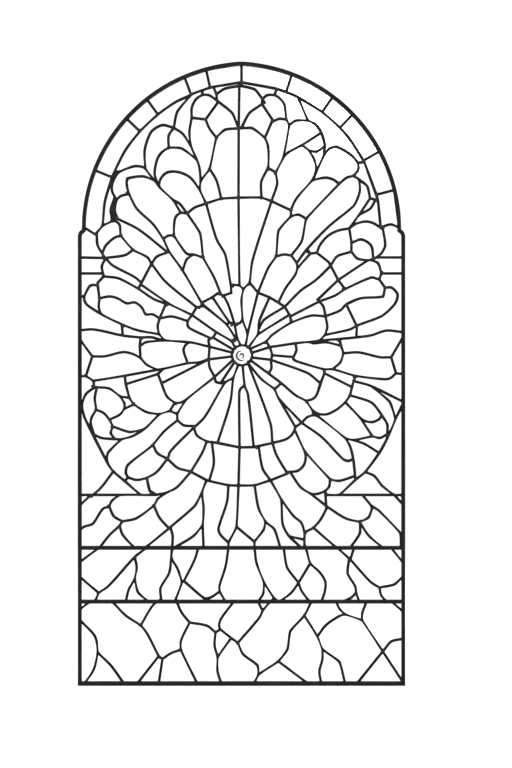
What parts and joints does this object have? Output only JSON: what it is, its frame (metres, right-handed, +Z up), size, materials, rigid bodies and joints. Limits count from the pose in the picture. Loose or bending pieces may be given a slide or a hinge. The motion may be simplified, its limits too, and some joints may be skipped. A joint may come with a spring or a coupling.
{
  "type": "stained glass window",
  "caption": "Round-headed window of clear panes in dark lead came: a petalled rose in a bordered arch over bands of crazed quarries, in a slim grooved metal frame.",
  "frame": {"origin": "middle of the sill's underside, in the window's mid-plane", "axes": "+Z up, -Y out of the front face, +X to the right as seen from the front"},
  "size_m": [0.7, 0.016, 1.3336],
  "materials": {
    "frame_metal": "satin black",
    "lead": "dark patina",
    "clear_glass": "clear, faintly wavy"
  },
  "bodies": {
    "root": {"perimeter_frame": "frame_metal", "division_bar_lower": "frame_metal", "division_bar_upper": "frame_metal", "came_leading_bottom": "lead", "came_leading_middle": "lead", "came_leading_rose": "lead", "glass_bottom": "clear_glass", "glass_middle": "clear_glass", "glass_rose": "clear_glass"}
  },
  "joints": []
}
